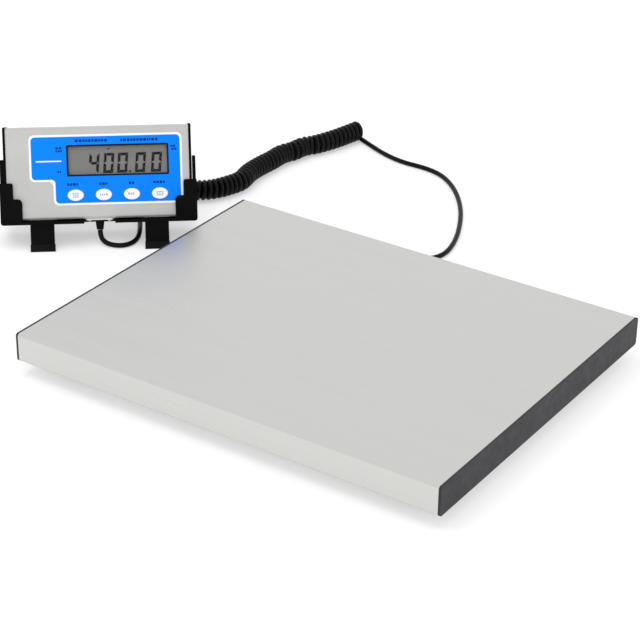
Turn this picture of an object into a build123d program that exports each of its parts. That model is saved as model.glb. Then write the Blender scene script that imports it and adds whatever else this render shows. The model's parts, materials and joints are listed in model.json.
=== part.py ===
from build123d import *
import os
from math import cos, pi, radians, tan

# Platform shipping scale: a low weighing platform, an indicator that stands beside it in a
# wall or table cradle, and a curly cord between the two. All sizes are in millimetres.
# The origin is on the table under the middle of the platform. +X runs along the platform's
# long side, +Y to its back and +Z up.

# ---- platform ----
PLATFORM_LENGTH = 380.0
PLATFORM_WIDTH = 300.0
PLATFORM_HEIGHT = 36.0
APRON_HEIGHT = 24.0
COVER_SHEET = 1.2
COVER_BEND = 2.2
COVER_RETURN = 20.0
END_CAP_THICKNESS = 2.0
CAP_LIP_DEPTH = 9.0
CAP_LIP_WALL = 1.6
BASE_SHEET = 1.0
BEAM_WIDTH = 30.0
BEAM_WALL = 1.5
BEAM_EDGE_GAP = 18.8
CROSS_X = 90.0
CROSS_WIDTH = 20.0
CELL_SIZE = 34.0
CELL_THICKNESS = 3.0
CELL_RIM = 5.0
CELL_SLOT = 3.0
CELL_END_GAP = 7.0
CARRIER_HEIGHT = 1.6
CELL_BASE_GAP = 1.0
FOOT_PAD_RADIUS = 12.5
FOOT_PAD_HEIGHT = 3.5
FOOT_DISC_RADIUS = 13.0
FOOT_DISC_HEIGHT = 3.5
FOOT_NECK_RADIUS = 6.0
FOOT_STEM_RADIUS = 3.0
NECK_GAP = 2.0
FOOT_TRAVEL = 0.5
BASE_SCREW_RADIUS = 2.0
SCREW_HEAD_RADIUS = 3.8
BASE_SCREW_X = 100.0
SLEEVE_WALL = 2.3
NUT_HEIGHT = 3.0
BOARD_X = -20.0
BOARD_Y = 60.0
BOARD_LENGTH = 50.0
BOARD_WIDTH = 36.0
BOARD_SHEET = 1.6
BOARD_STANDOFF = 5.0
LEAD_RADIUS = 1.3
GLAND_X = -48.0
GLAND_Z = 21.6
GLAND_THREAD_RADIUS = 4.2
GLAND_HEX = 12.0

# ---- cord ----
CORD_RADIUS = 2.2
COIL_RADIUS = 8.5
CORD_LOOP = [
    (-286.2, 68.5, 11.3), (-284.9, 66.9, 6.4), (-279.2, 64.9, 3.0), (-271.3, 65.1, 2.2),
    (-262.9, 69.1, 2.2), (-259.0, 76.9, 2.2), (-260.1, 86.5, 2.2), (-265.5, 96.9, 2.2),
    (-274.0, 108.7, 2.2), (-285.5, 122.6, 2.6), (-296.0, 139.5, 5.4), (-303.5, 154.0, 10.2),
    (-309.5, 166.5, 14.6),
]
CORD_COIL = [
    (-309.5, 166.5, 8.5), (-290.0, 176.0, 8.5), (-270.0, 184.5, 8.5), (-257.5, 197.5, 8.5),
    (-252.0, 212.0, 8.5), (-248.3, 225.5, 8.5), (-253.5, 244.0, 8.5), (-254.0, 263.0, 8.5),
    (-252.5, 281.0, 8.5), (-254.0, 300.0, 8.5), (-247.0, 310.5, 8.5), (-248.0, 325.0, 8.5),
    (-240.0, 333.0, 8.5), (-235.5, 346.0, 8.5), (-231.5, 359.0, 8.5), (-228.5, 373.0, 8.5),
    (-225.5, 388.5, 8.5),
]
CORD_TAIL = [
    (-225.5, 388.5, 2.2), (-205.0, 378.5, 2.2), (-182.0, 368.0, 2.2), (-158.0, 362.0, 2.2),
    (-135.0, 363.5, 2.2), (-114.0, 359.0, 2.2), (-93.5, 344.5, 2.2), (-74.0, 323.5, 2.2),
    (-55.4, 297.0, 2.2), (-38.0, 263.0, 2.2), (-28.5, 237.0, 2.2), (-25.3, 219.5, 2.2),
    (-27.2, 207.5, 2.2), (-32.5, 197.5, 3.4), (-39.5, 188.8, 6.8), (-45.3, 179.5, 12.0),
    (-48.0, 168.0, 21.6), (-48.0, 150.5, 21.6),
]

# ---- indicator: X across the face, Y into the case, Z up the face ----
# Its own origin is the middle of the face's lower edge.
INDICATOR_POSITION = (-282.8, 64.3, 24.6)
INDICATOR_YAW = 38.9
INDICATOR_TILT = 22.0
CASE_WIDTH = 161.8
CASE_HEIGHT = 79.6
CASE_DEPTH = 32.0
CASE_SHEET = 1.5
CASE_BEND = 2.5
END_PLATE_THICKNESS = 2.2
END_PLATE_PROUD = 0.7
REAR_COVER_DEPTH = 4.0
PORT_RADIUS = 3.2
PORT_SEAT = 0.3
CASE_SCREW_RADIUS = 1.4
CASE_SCREW_HEAD = 2.8
CASE_HEAD_DEPTH = 1.4
OVERLAY_THICKNESS = 0.4
OVERLAY_LEFT_MARGIN = 22.1
OVERLAY_RIGHT_MARGIN = 8.1
OVERLAY_BOTTOM_MARGIN = 12.2
OVERLAY_TOP_MARGIN = 6.5
OVERLAY_NOTCH_WIDTH = 20.1
OVERLAY_NOTCH_HEIGHT = 20.6
OVERLAY_CORNER = 4.5
WINDOW_RIGHT_MARGIN = 11.6
WINDOW_TOP_MARGIN = 9.7
WINDOW_WIDTH = 88.0
WINDOW_HEIGHT = 28.2
KEY_COUNT = 4
KEY_RIGHT_MARGIN = 20.0
KEY_PITCH = 24.2
KEY_BOTTOM_MARGIN = 8.6
KEY_WIDTH = 13.8
KEY_HEIGHT = 9.8
KEY_PROUD = 0.9
KEY_TRAVEL = 0.4
KEY_FLANGE = 1.4
MAIN_BOARD_DEPTH = 8.2
MAIN_BOARD_SHEET = 1.6
SWITCH_HEIGHT = 1.3
LCD_THICKNESS = 6.0
TRAY_DEPTH = 11.0
TRAY_WALL = 1.4
CELL_AA_RADIUS = 7.2
CELL_AA_LENGTH = 50.5
BATTERY_ROWS = 3
BATTERY_COLUMNS = 2
DOOR_TONGUE = 1.5
DOOR_TONGUE_DEPTH = 1.2
ENTRY_DEPTH = 10.0
ENTRY_WIDTH = 25.0
ENTRY_LENGTH = 16.0
ENTRY_SHEET = 1.2
ENTRY_SCREW_X = 8.8
ENTRY_SCREW_RADIUS = 1.25
BOOT_LENGTH = 10.0
BOOT_ROOT_RADIUS = 4.0
BOOT_TIP_RADIUS = 2.9
JACK_DEPTH = 20.0
JACK_HEIGHT = 64.0
JACK_RADIUS = 4.0
JACK_BORE = 2.75
JACK_LENGTH = 11.0

# ---- cradle and its fold-out legs ----
CRADLE_WALL = 2.8
CRADLE_SIDE_WALL = 3.4
CRADLE_ROUND = 2.5
CRADLE_GAP = 0.5
CRADLE_FLOOR = 2.6
ARM_HEIGHT = 52.6
BACK_WALL_HEIGHT = 26.0
CLIP_THICKNESS = 2.4
CLIP_WIDTH = 18.9
CLIP_HEIGHT = 18.6
CLIP_UPPER_WIDTH = 11.4
CLIP_UPPER_HEIGHT = 32.4
CLIP_ROUND = 4.0
ARM_FRONT = 1.5
ARM_BACK = 9.0
ARM_INSET = 0.5
ARM_ROUND = 3.0
FRONT_LIP = 1.6
NOTCH_WIDTH = 26.8
KEYHOLE_X = 40.0
KEYHOLE_Z = 12.0
KEYHOLE_RADIUS = 4.0
KEYHOLE_SLOT_RADIUS = 2.1
KEYHOLE_RISE = 8.0
LEG_END_MARGIN = 35.4
LEG_WIDTH = 20.6
LEG_THICKNESS = 3.0
LEG_SIDE_GAP = 0.4
LEG_PIN_RADIUS = 0.8
LEG_PIN_SEAT = 3.0
TOE_HEIGHT = 5.5
TOE_WALL = 0.4
TOE_SOLE = 2.4
HEEL_WIDTH = 12.0
HEEL_DEPTH = 6.0

# ---- clearances ----
FIT = 0.25
SLIDE_GAP = 0.3
RUNNING = 0.05
SCREW_CLEARANCE = 0.2

# ---- places worked out from the sizes above ----
COVER_BOTTOM = PLATFORM_HEIGHT - APRON_HEIGHT
COVER_UNDERSIDE = PLATFORM_HEIGHT - COVER_SHEET
CHANNEL_END = PLATFORM_LENGTH / 2 - END_CAP_THICKNESS
APRON_INSIDE = PLATFORM_WIDTH / 2 - COVER_SHEET
BASE_BOTTOM = COVER_BOTTOM + COVER_SHEET
BASE_TOP = BASE_BOTTOM + BASE_SHEET
CELL_BOTTOM = BASE_TOP + CELL_BASE_GAP
CELL_TOP = CELL_BOTTOM + CELL_THICKNESS
BEAM_BOTTOM = CELL_TOP + CARRIER_HEIGHT
BEAM_HEIGHT = COVER_UNDERSIDE - BEAM_BOTTOM
BEAM_Y = APRON_INSIDE - BEAM_EDGE_GAP - BEAM_WIDTH / 2
BEAM_INSIDE = BEAM_Y - BEAM_WIDTH / 2
BEAM_END = CHANNEL_END - CAP_LIP_DEPTH - 1.0
CELL_X = BEAM_END - CELL_END_GAP - CELL_SIZE / 2
FOOT_PLACES = [
    ("front_left", -CELL_X, -BEAM_Y),
    ("front_right", CELL_X, -BEAM_Y),
    ("rear_left", -CELL_X, BEAM_Y),
    ("rear_right", CELL_X, BEAM_Y),
]
BASE_SCREW_Y = BEAM_Y + BEAM_WIDTH / 2 - BEAM_WALL - SCREW_HEAD_RADIUS - FIT
BASE_SCREW_PLACES = [
    (x, side * BASE_SCREW_Y) for side in (-1, 1) for x in (-BASE_SCREW_X, 0.0, BASE_SCREW_X)
]
BOARD_BOTTOM = BASE_TOP + BOARD_STANDOFF
BOARD_TOP = BOARD_BOTTOM + BOARD_SHEET

CASE_END = CASE_WIDTH / 2
SHELL_END = CASE_END - END_PLATE_THICKNESS
SHELL_DEPTH = CASE_DEPTH - REAR_COVER_DEPTH
PORT_INSET = CASE_SHEET + PORT_RADIUS - PORT_SEAT
PORT_PLACES = [
    (depth, height)
    for depth in (PORT_INSET, SHELL_DEPTH - PORT_RADIUS)
    for height in (PORT_INSET, CASE_HEIGHT - PORT_INSET)
]
OVERLAY_LEFT = -CASE_END + OVERLAY_LEFT_MARGIN
OVERLAY_RIGHT = CASE_END - OVERLAY_RIGHT_MARGIN
OVERLAY_BOTTOM = OVERLAY_BOTTOM_MARGIN
OVERLAY_TOP = CASE_HEIGHT - OVERLAY_TOP_MARGIN
OVERLAY_NOTCH_X = OVERLAY_LEFT + OVERLAY_NOTCH_WIDTH
OVERLAY_NOTCH_Z = OVERLAY_BOTTOM + OVERLAY_NOTCH_HEIGHT
WINDOW_X = OVERLAY_RIGHT - WINDOW_RIGHT_MARGIN - WINDOW_WIDTH / 2
WINDOW_Z = OVERLAY_TOP - WINDOW_TOP_MARGIN - WINDOW_HEIGHT / 2
KEY_LAST_X = OVERLAY_RIGHT - KEY_RIGHT_MARGIN
KEY_Z = OVERLAY_BOTTOM + KEY_BOTTOM_MARGIN
KEY_PLACES = [KEY_LAST_X - KEY_PITCH * (KEY_COUNT - 1 - i) for i in range(KEY_COUNT)]
TRAY_INNER_HEIGHT = BATTERY_ROWS * (2 * CELL_AA_RADIUS + 0.6)
TRAY_TOP = CASE_HEIGHT - CASE_SHEET - 0.5
TRAY_BOTTOM = TRAY_TOP - TRAY_INNER_HEIGHT - 2 * TRAY_WALL
BATTERY_COLUMN = CELL_AA_LENGTH + 4.0
TRAY_HALF = BATTERY_COLUMNS * BATTERY_COLUMN / 2 + TRAY_WALL
PORT_LENGTH = (SHELL_END - TRAY_HALF) / 2
DOOR_BOTTOM = TRAY_BOTTOM - 1.0
DOOR_HALF = TRAY_HALF - 1.0
TONGUE_FRONT = SHELL_DEPTH + 1.0
ENTRY_SCREW_PLACES = [(side * ENTRY_SCREW_X, ENTRY_DEPTH) for side in (-1, 1)]

CRADLE_TOP = -END_PLATE_PROUD - CRADLE_GAP
CRADLE_BOTTOM = CRADLE_TOP - CRADLE_FLOOR
CRADLE_INSIDE = CASE_END + CRADLE_GAP
CRADLE_OUTSIDE = CRADLE_INSIDE + CRADLE_SIDE_WALL
CRADLE_REAR_INSIDE = CASE_DEPTH + END_PLATE_PROUD + CRADLE_GAP
CRADLE_REAR = CRADLE_REAR_INSIDE + CRADLE_WALL
CLIP_BACK = -END_PLATE_PROUD - CRADLE_GAP
CLIP_FRONT = CLIP_BACK - CLIP_THICKNESS
LEG_X = CRADLE_OUTSIDE - LEG_END_MARGIN
LEG_PIVOT_Z = (CRADLE_TOP + CRADLE_BOTTOM) / 2
LEG_END_RADIUS = LEG_THICKNESS / 2
LEG_Y = CLIP_FRONT + FRONT_LIP + LEG_END_RADIUS + SLIDE_GAP
INDICATOR = Pos(*INDICATOR_POSITION) * Rot(Z=INDICATOR_YAW) * Rot(X=-INDICATOR_TILT)
LEG_REACH = INDICATOR_POSITION[2] / cos(radians(INDICATOR_TILT))
TOE_START = -LEG_REACH + TOE_HEIGHT


def block(x0, x1, y0, y1, z0, z1):
    """Box between two corners."""
    return Pos((x0 + x1) / 2, (y0 + y1) / 2, (z0 + z1) / 2) * Box(x1 - x0, y1 - y0, z1 - z0)


def along_x(outline, x0, x1):
    """Outline drawn in Y and Z, made solid from x0 to x1."""
    return extrude(Plane(origin=(x0, 0, 0), x_dir=(0, 1, 0), z_dir=(1, 0, 0)) * outline, x1 - x0)


def facing(outline, front, back):
    """Outline drawn in X and Z, made solid from depth front to depth back."""
    plane = Plane(origin=(0, back, 0), x_dir=(1, 0, 0), z_dir=(0, -1, 0))
    return extrude(plane * outline, back - front)


def upright(outline, z0, z1):
    """Outline drawn in X and Y, made solid from z0 to z1."""
    return extrude(Pos(0, 0, z0) * outline, z1 - z0)


def rod(radius, start, end):
    """Round bar from start to end."""
    axis = Vector(*end) - Vector(*start)
    return extrude(Plane(origin=start, z_dir=axis) * Circle(radius), axis.length)


def at_each(shape, places):
    """The same shape at several places, as one group of separate solids."""
    return Compound([solid for place in places for solid in (Pos(*place) * shape).solids()])


def cut_each(shape, tool, places):
    """Shape with the same tool cut out at several places."""
    for place in places:
        shape = shape - Pos(*place) * tool
    return shape


def corner_radii(points):
    """Largest even arcs for a route's corners: 0.45 of the shorter run over tan of half the turn."""
    radii = []
    for before, here, after in zip(points, points[1:], points[2:]):
        run_in = here - before
        run_out = after - here
        half_turn = radians(run_in.get_angle(run_out)) / 2
        radii.append(0.45 * min(run_in.length, run_out.length) / tan(half_turn))
    return radii


def tube(points, radius):
    """Round tube of straight runs joined by tangent arcs."""
    route = [Vector(*point) for point in points]
    path = FilletPolyline(*route, radius=corner_radii(route))
    return sweep(Plane(origin=path @ 0, z_dir=path % 0) * Circle(radius), path=path)


def report_route(name, points, radius, solid):
    """Print a route's radii, and its solid's volume beside section times length."""
    route = [Vector(*point) for point in points]
    radii = corner_radii(route)
    length = FilletPolyline(*route, radius=radii).length
    print(name, "length", round(length, 1), "radii", [round(r, 1) for r in radii])
    print("  volume", round(solid.volume), "section x length", round(pi * radius**2 * length))


# ---- platform ----
def apron_outline(inset=0.0):
    """Outline of the platform seen from its end, drawn in Y and Z, made smaller by inset."""
    outline = RectangleRounded(
        PLATFORM_WIDTH - 2 * inset, APRON_HEIGHT - 2 * inset, COVER_BEND - min(inset, COVER_SHEET)
    )
    return Pos(0, COVER_BOTTOM + APRON_HEIGHT / 2) * outline


def platter_cover():
    """Folded stainless channel: top, front and rear aprons, and returns below."""
    mouth_width = PLATFORM_WIDTH - 2 * COVER_RETURN
    mouth = Pos(0, COVER_BOTTOM) * Rectangle(mouth_width, 4 * COVER_SHEET)
    cover = along_x(apron_outline() - apron_outline(COVER_SHEET) - mouth, -CHANNEL_END, CHANNEL_END)
    screw_hole = rod(BASE_SCREW_RADIUS + SCREW_CLEARANCE, (0, 0, 0), (0, 0, BASE_BOTTOM + 1))
    cover = cut_each(cover, screw_hole, BASE_SCREW_PLACES)
    neck_hole = rod(FOOT_NECK_RADIUS + NECK_GAP, (0, 0, 0), (0, 0, BASE_BOTTOM + 1))
    cover = cut_each(cover, neck_hole, [(x, y) for _, x, y in FOOT_PLACES])
    gland_hole = rod(
        GLAND_THREAD_RADIUS + SCREW_CLEARANCE,
        (GLAND_X, APRON_INSIDE - 1, GLAND_Z),
        (GLAND_X, PLATFORM_WIDTH / 2 + 1, GLAND_Z),
    )
    return cover - gland_hole


def end_cap():
    """Moulded right-hand end of the platform, with a lip that plugs into the channel."""
    plate = along_x(apron_outline(), CHANNEL_END, PLATFORM_LENGTH / 2)
    low = BASE_TOP + FIT
    high = COVER_UNDERSIDE - FIT
    width = 2 * (APRON_INSIDE - FIT)
    rim = RectangleRounded(width, high - low, COVER_BEND - COVER_SHEET)
    hollow = Rectangle(width - 2 * CAP_LIP_WALL, high - low - 2 * CAP_LIP_WALL)
    lip = Pos(0, (low + high) / 2) * (rim - hollow)
    return plate + along_x(lip, CHANNEL_END - CAP_LIP_DEPTH, CHANNEL_END)


def base_plate():
    """Flat underside panel on the cover's returns, with pillars for the junction board."""
    half_length = CHANNEL_END - FIT
    half_width = APRON_INSIDE - COVER_BEND
    plate = block(-half_length, half_length, -half_width, half_width, BASE_BOTTOM, BASE_TOP)
    screw_hole = rod(BASE_SCREW_RADIUS + SCREW_CLEARANCE, (0, 0, 0), (0, 0, BASE_TOP + 1))
    plate = cut_each(plate, screw_hole, BASE_SCREW_PLACES)
    neck_hole = rod(FOOT_NECK_RADIUS + NECK_GAP, (0, 0, 0), (0, 0, BASE_TOP + 1))
    plate = cut_each(plate, neck_hole, [(x, y) for _, x, y in FOOT_PLACES])
    for x in (-1, 1):
        for y in (-1, 1):
            foot = (BOARD_X + x * (BOARD_LENGTH / 2 - 4), BOARD_Y + y * (BOARD_WIDTH / 2 - 4))
            plate = plate + rod(2.5, (*foot, BASE_TOP), (*foot, BOARD_BOTTOM))
    return plate


def base_screws():
    """Pan-head screws up through the returns and base plate into the frame nuts."""
    head = rod(SCREW_HEAD_RADIUS, (0, 0, COVER_BOTTOM - 2.2), (0, 0, COVER_BOTTOM))
    slot = rod(1.1, (0, 0, COVER_BOTTOM - 2.2), (0, 0, COVER_BOTTOM - 1.0))
    shank_top = BEAM_BOTTOM + BEAM_WALL + NUT_HEIGHT + 1
    shank = rod(BASE_SCREW_RADIUS, (0, 0, COVER_BOTTOM), (0, 0, shank_top))
    return at_each(head + shank - slot, BASE_SCREW_PLACES)


def frame_sleeves():
    """Sleeves between base plate and beams, and the hexagon nuts inside the beams."""
    bore = BASE_SCREW_RADIUS + SCREW_CLEARANCE
    ring = Circle(bore + SLEEVE_WALL) - Circle(bore)
    sleeve = upright(ring, BASE_TOP, BEAM_BOTTOM)
    nut_outline = RegularPolygon(SCREW_HEAD_RADIUS, 6) - Circle(BASE_SCREW_RADIUS + RUNNING)
    nut_bottom = BEAM_BOTTOM + BEAM_WALL
    nut = upright(nut_outline, nut_bottom, nut_bottom + NUT_HEIGHT)
    return Compound(
        at_each(sleeve, BASE_SCREW_PLACES).solids() + at_each(nut, BASE_SCREW_PLACES).solids()
    )


def hollow_section(width, height, wall):
    """Rectangular tube's section."""
    return Rectangle(width, height) - Rectangle(width - 2 * wall, height - 2 * wall)


def beam(side):
    """Long frame tube under the cover, side -1 at the front and 1 at the rear."""
    middle = (side * BEAM_Y, BEAM_BOTTOM + BEAM_HEIGHT / 2)
    section = Pos(*middle) * hollow_section(BEAM_WIDTH, BEAM_HEIGHT, BEAM_WALL)
    tube_part = along_x(section, -BEAM_END, BEAM_END)
    hole_ends = ((0, 0, BEAM_BOTTOM - 1), (0, 0, BEAM_BOTTOM + BEAM_WALL + 1))
    hole = rod(BASE_SCREW_RADIUS + SCREW_CLEARANCE, *hole_ends)
    tube_part = cut_each(tube_part, hole, [place for place in BASE_SCREW_PLACES if place[1] * side > 0])
    if side > 0:
        way_ends = ((GLAND_X, BEAM_INSIDE - 1, GLAND_Z), (GLAND_X, APRON_INSIDE - 1, GLAND_Z))
        tube_part = tube_part - rod(GLAND_THREAD_RADIUS, *way_ends)
    return tube_part


def cross_member(side):
    """Short frame tube welded between the two beams."""
    section = hollow_section(CROSS_WIDTH, BEAM_HEIGHT, BEAM_WALL)
    middle = (side * CROSS_X, BEAM_BOTTOM + BEAM_HEIGHT / 2)
    plane = Plane(origin=(0, BEAM_INSIDE, 0), x_dir=(1, 0, 0), z_dir=(0, -1, 0))
    return extrude(plane * Pos(*middle) * section, 2 * BEAM_INSIDE)


def cell_carriers():
    """Square seats that hold each load cell's rim off the beam so its tongue can bend."""
    ring = Rectangle(CELL_SIZE, CELL_SIZE) - Rectangle(
        CELL_SIZE - 2 * CELL_RIM + 1, CELL_SIZE - 2 * CELL_RIM + 1
    )
    seat = upright(ring, CELL_TOP, BEAM_BOTTOM)
    return at_each(seat, [(x, y) for _, x, y in FOOT_PLACES])


def load_cell(x, y):
    """Half-bridge cell: a square rim with a tongue that the foot pushes on."""
    opening = CELL_SIZE - 2 * CELL_RIM
    tongue_width = opening - 2 * CELL_SLOT
    rim = Rectangle(CELL_SIZE, CELL_SIZE) - Rectangle(opening, opening)
    tongue = Pos(0, CELL_SLOT / 2) * Rectangle(tongue_width, opening - CELL_SLOT)
    outline = rim + tongue - Circle(FOOT_STEM_RADIUS + RUNNING)
    return Pos(x, y) * upright(outline, CELL_BOTTOM, CELL_TOP)


def foot(x, y):
    """Turned foot: a disc on the rubber pad, a neck through the base plate and a stem in the cell."""
    disc_top = FOOT_PAD_HEIGHT + FOOT_DISC_HEIGHT
    disc = Pos(0, 0, FOOT_PAD_HEIGHT) * extrude(Circle(FOOT_DISC_RADIUS), FOOT_DISC_HEIGHT)
    disc = chamfer(disc.edges().group_by(Axis.Z)[-1], 1.0)
    neck = rod(FOOT_NECK_RADIUS, (0, 0, disc_top), (0, 0, CELL_BOTTOM))
    stem = rod(FOOT_STEM_RADIUS, (0, 0, CELL_BOTTOM), (0, 0, CELL_TOP + FOOT_TRAVEL))
    return Pos(x, y) * (disc + neck + stem)


def foot_pad(x, y):
    """Rubber pad under a foot, with two grip grooves."""
    pad = upright(Circle(FOOT_PAD_RADIUS), 0, FOOT_PAD_HEIGHT)
    for outer in (FOOT_PAD_RADIUS - 3.5, FOOT_PAD_RADIUS - 7.5):
        pad = pad - upright(Circle(outer) - Circle(outer - 1.5), 0, 1.0)
    return Pos(x, y) * pad


def summing_board():
    """Junction board that adds the four load cells' signals."""
    half_length = BOARD_LENGTH / 2
    half_width = BOARD_WIDTH / 2
    return block(
        BOARD_X - half_length, BOARD_X + half_length, BOARD_Y - half_width, BOARD_Y + half_width,
        BOARD_BOTTOM, BOARD_TOP,
    )


def lead_sockets():
    """Where each load cell's lead meets the junction board: end face places on its two short sides."""
    reach = BOARD_LENGTH / 2
    return [
        (BOARD_X + (1 if x > 0 else -1) * reach, BOARD_Y + (1 if y > 0 else -1) * 9.0, x, y)
        for _, x, y in FOOT_PLACES
    ]


def summing_board_parts():
    """Wire sockets, trimmers and a converter chip on the junction board."""
    solids = []
    for x, y, _, _ in lead_sockets():
        inward = -8.0 if x > BOARD_X else 8.0
        low, high = sorted((x, x + inward))
        solids.append(block(low, high, y - 4, y + 4, BOARD_TOP, BOARD_TOP + 5.5))
    solids.append(block(GLAND_X + 6, GLAND_X + 16, BOARD_Y - 4, BOARD_Y + 4, BOARD_TOP, BOARD_TOP + 2.0))
    for i in (-1, 1):
        middle = BOARD_Y + i * 12
        solids.append(block(BOARD_X - 3, BOARD_X + 3, middle - 3, middle + 3, BOARD_TOP, BOARD_TOP + 4))
    return Compound([solid for shape in solids for solid in shape.solids()])


def cell_leads():
    """Four thin leads from the load cells to the junction board, lying on the base plate."""
    floor = BASE_TOP + LEAD_RADIUS + 0.2
    socket_z = BOARD_TOP + 2.8
    leads = []
    for socket_x, socket_y, cell_x, cell_y in lead_sockets():
        side = 1 if cell_x > 0 else -1
        end = 1 if cell_y > 0 else -1
        start_x = cell_x - side * (CELL_SIZE / 2 + 0.6)
        points = [
            (start_x, cell_y, floor + 0.8),
            (start_x - side * 10, cell_y - end * 2, floor),
            (start_x - side * 26, cell_y - end * 22, floor),
            (socket_x + side * 34, socket_y + end * 8, floor),
            (socket_x + side * 14, socket_y, floor + 1),
            (socket_x + side * 7, socket_y, socket_z),
            (socket_x + side * 0.2, socket_y, socket_z + 0.1),
        ]
        leads.append(tube(points, LEAD_RADIUS))
    return Compound([solid for lead in leads for solid in lead.solids()])


def signal_lead():
    """Inner end of the cord, from the gland through the rear beam to the junction board."""
    points = [
        (GLAND_X, PLATFORM_WIDTH / 2 + 0.2, GLAND_Z),
        (GLAND_X, BEAM_INSIDE - 2, GLAND_Z),
        (BOARD_X - 18, BEAM_INSIDE - 12, GLAND_Z + 1.5),
        (BOARD_X - 10, BOARD_Y + 4, BOARD_TOP + CORD_RADIUS + 2.4),
        (BOARD_X - 9, BOARD_Y - 8, BOARD_TOP + CORD_RADIUS + 2.0),
    ]
    return tube(points, CORD_RADIUS)


def base_gland():
    """Cable gland on the rear apron: flange and domed nose outside, threaded barrel inside."""
    wall = PLATFORM_WIDTH / 2
    flange = RegularPolygon(GLAND_HEX / 2, 6)
    plane = Plane(origin=(GLAND_X, wall, GLAND_Z), x_dir=(1, 0, 0), z_dir=(0, 1, 0))
    body = extrude(plane * flange, 2.5)
    nose = extrude(plane * Pos(0, 0, 2.5) * Circle(5.0), 5.5, taper=12)
    barrel = rod(GLAND_THREAD_RADIUS, (GLAND_X, wall - 8.5, GLAND_Z), (GLAND_X, wall, GLAND_Z))
    bore = rod(CORD_RADIUS + 0.1, (GLAND_X, wall - 20, GLAND_Z), (GLAND_X, wall + 20, GLAND_Z))
    return body + nose + barrel - bore


def gland_nut():
    """Lock nut of the gland, inside the apron."""
    plane = Plane(origin=(GLAND_X, APRON_INSIDE - 4, GLAND_Z), x_dir=(1, 0, 0), z_dir=(0, 1, 0))
    ring = RegularPolygon(GLAND_HEX / 2 + 0.6, 6) - Circle(GLAND_THREAD_RADIUS + RUNNING)
    return extrude(plane * ring, 4)


# ---- indicator ----
def case_outline(inset, depth):
    """Case seen from its end, drawn in Y and Z, made smaller by inset and cut off flat at depth."""
    outline = RectangleRounded(
        2 * CASE_DEPTH - 2 * inset, CASE_HEIGHT - 2 * inset, CASE_BEND - min(inset, CASE_SHEET)
    )
    beyond = Pos(depth + CASE_DEPTH, CASE_HEIGHT / 2) * Rectangle(2 * CASE_DEPTH, 2 * CASE_HEIGHT)
    return Pos(CASE_DEPTH, CASE_HEIGHT / 2) * outline - beyond


def window_outline(gap=0.0):
    return Pos(WINDOW_X, WINDOW_Z) * RectangleRounded(
        WINDOW_WIDTH + 2 * gap, WINDOW_HEIGHT + 2 * gap, 1.0 + gap
    )


def key_outline(x, gap=0.0):
    return Pos(x, KEY_Z) * Ellipse(KEY_WIDTH / 2 + gap, KEY_HEIGHT / 2 + gap)


def case_shell():
    """Silver channel: face, top and bottom, with screw ports in its corners."""
    section = case_outline(0, SHELL_DEPTH) - case_outline(CASE_SHEET, SHELL_DEPTH)
    shell = along_x(section, -SHELL_END, SHELL_END)
    for place in PORT_PLACES:
        for side in (-1, 1):
            ends = sorted((side * SHELL_END, side * (SHELL_END - PORT_LENGTH)))
            port = along_x(Pos(*place) * Circle(PORT_RADIUS), *ends)
            shell = shell + port
            shell = shell - along_x(Pos(*place) * Circle(CASE_SCREW_RADIUS + RUNNING), *ends)
    shell = shell - facing(window_outline(FIT), -1, CASE_SHEET + 1)
    for x in KEY_PLACES:
        shell = shell - facing(key_outline(x, FIT), -1, CASE_SHEET + 1)
    entry = rod(BOOT_ROOT_RADIUS + FIT, (0, ENTRY_DEPTH, -1), (0, ENTRY_DEPTH, CASE_SHEET + 1))
    screw_hole = rod(ENTRY_SCREW_RADIUS + RUNNING, (0, 0, -1), (0, 0, CASE_SHEET + 1))
    return cut_each(shell - entry, screw_hole, ENTRY_SCREW_PLACES)


def end_plate(side):
    """Black end plate, a little proud of the channel, with countersunk screw holes."""
    outline = RectangleRounded(
        CASE_DEPTH + 2 * END_PLATE_PROUD, CASE_HEIGHT + 2 * END_PLATE_PROUD, CASE_BEND
    )
    middle = Pos(CASE_DEPTH / 2, CASE_HEIGHT / 2)
    ends = sorted((side * SHELL_END, side * CASE_END))
    plate = along_x(middle * outline, *ends)
    for place in PORT_PLACES:
        plate = plate - along_x(Pos(*place) * Circle(CASE_SCREW_RADIUS + SCREW_CLEARANCE), *ends)
        sink = along_x(
            Pos(*place) * Circle(CASE_SCREW_HEAD + 0.1),
            *sorted((side * (CASE_END - CASE_HEAD_DEPTH), side * CASE_END)),
        )
        plate = plate - sink
    if side > 0:
        plate = plate - along_x(Pos(JACK_DEPTH, JACK_HEIGHT) * Circle(JACK_RADIUS + 0.1), *ends)
    return plate


def end_plate_screws():
    """Flush screws through the end plates into the channel's ports."""
    solids = []
    for side in (-1, 1):
        for place in PORT_PLACES:
            head_ends = sorted((side * (CASE_END - CASE_HEAD_DEPTH), side * CASE_END))
            shank_in = side * (SHELL_END - PORT_LENGTH + 1)
            shank_ends = sorted((shank_in, side * (CASE_END - CASE_HEAD_DEPTH)))
            screw = along_x(Pos(*place) * Circle(CASE_SCREW_HEAD), *head_ends)
            screw = screw + along_x(Pos(*place) * Circle(CASE_SCREW_RADIUS), *shank_ends)
            recess_ends = sorted((side * (CASE_END - 0.8), side * CASE_END))
            for turn in (0, 90):
                screw = screw - along_x(Pos(*place) * Rot(Z=turn) * Rectangle(3.4, 0.8), *recess_ends)
            solids.extend(screw.solids())
    return Compound(solids)


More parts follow.
